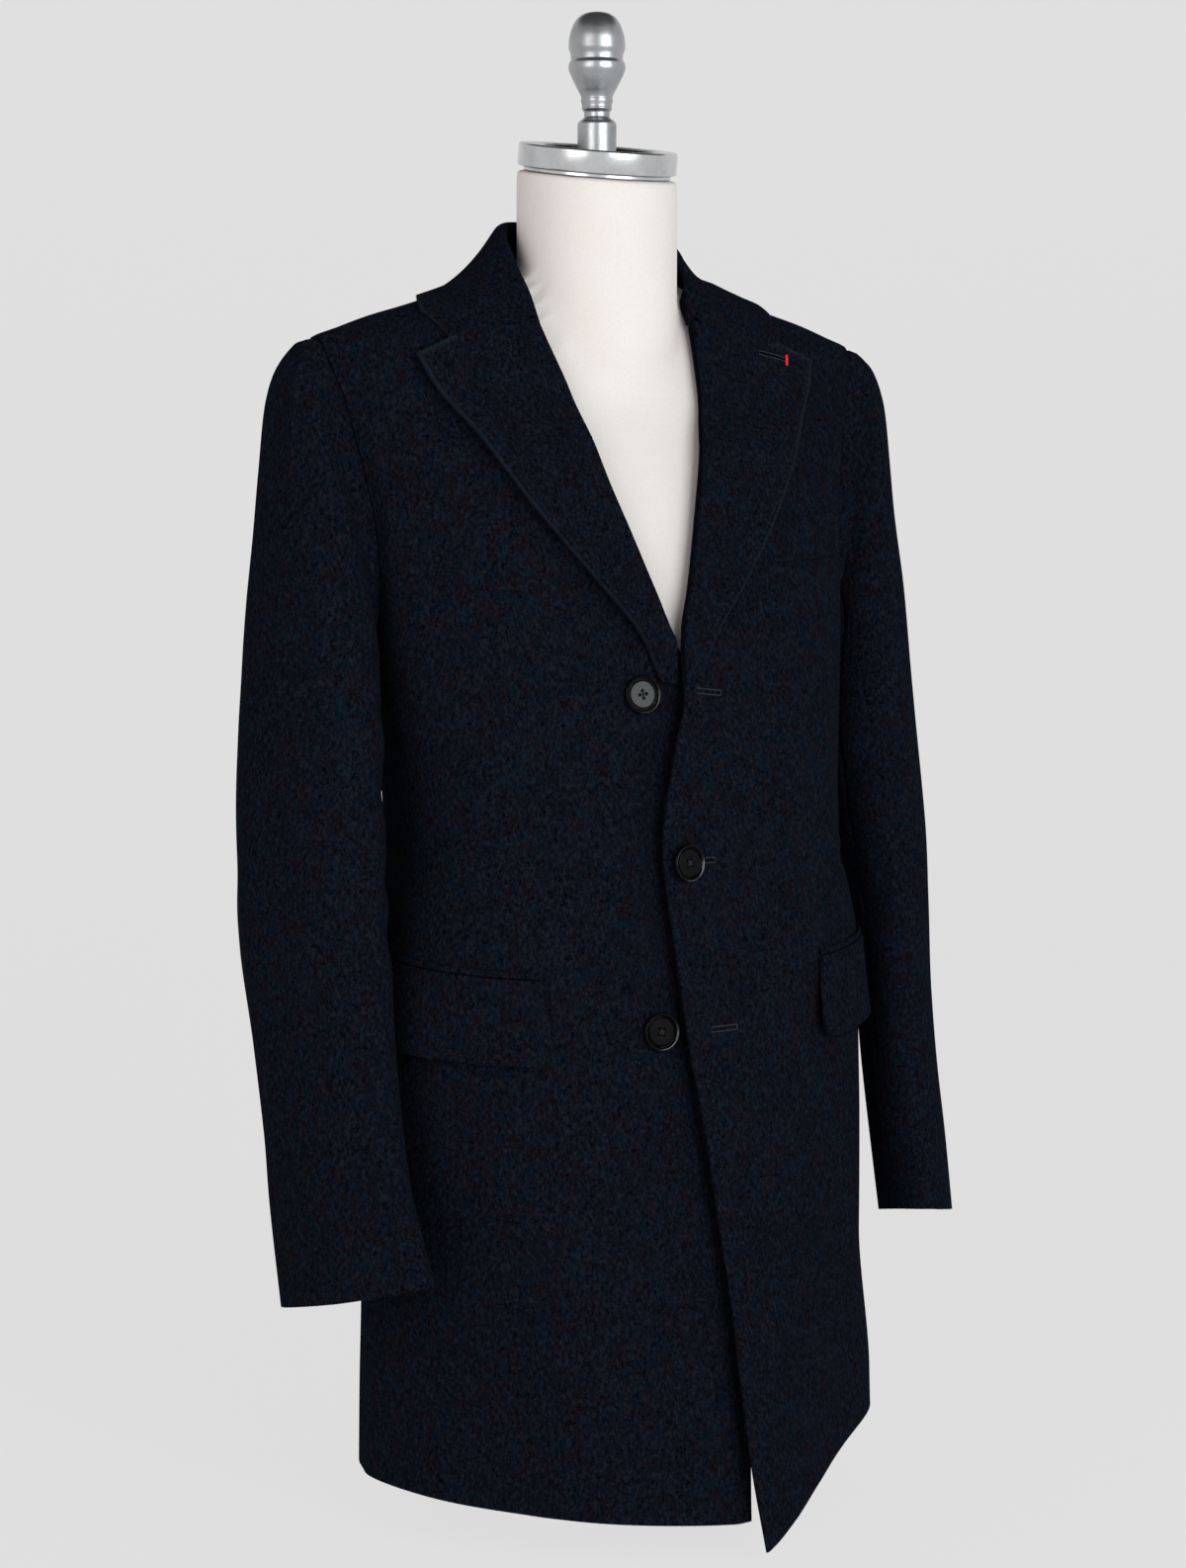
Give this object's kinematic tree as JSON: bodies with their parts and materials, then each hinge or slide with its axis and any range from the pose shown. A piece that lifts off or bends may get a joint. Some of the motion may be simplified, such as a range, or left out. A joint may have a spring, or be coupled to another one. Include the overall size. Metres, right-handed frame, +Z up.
{
  "type": "wool overcoat on a dress form",
  "caption": "Tailored wool overcoat with notch lapels, flap pockets and long sleeves, on a limbless dress form with a turned finial.",
  "frame": {"origin": "on the floor under the middle of the bounding box", "axes": "+Z up, the coat's front faces -Y, the wearer's left is +X"},
  "size_m": [0.5758, 0.3771, 1.1019],
  "materials": {
    "navy_wool": "brushed felted wool",
    "black_button": "polished",
    "ecru_canvas": "smooth canvas",
    "brushed_metal": "satin",
    "painted_iron": "painted"
  },
  "bodies": {
    "root": {"front_left": "navy_wool", "front_right": "navy_wool", "back_left": "navy_wool", "back_right": "navy_wool", "lapel_left": "navy_wool", "lapel_right": "navy_wool", "collar": "navy_wool", "sleeve_top_left": "navy_wool", "sleeve_under_left": "navy_wool", "sleeve_top_right": "navy_wool", "sleeve_under_right": "navy_wool", "flap_left": "navy_wool", "flap_right": "navy_wool", "jet_left": "navy_wool", "jet_right": "navy_wool", "breast_welt": "navy_wool", "button_top": "black_button", "button_middle": "black_button", "button_bottom": "black_button", "form_torso": "ecru_canvas", "cap_ring": "brushed_metal", "cap_plate": "brushed_metal", "finial": "brushed_metal", "pole": "brushed_metal", "base_plate": "painted_iron"}
  },
  "joints": []
}
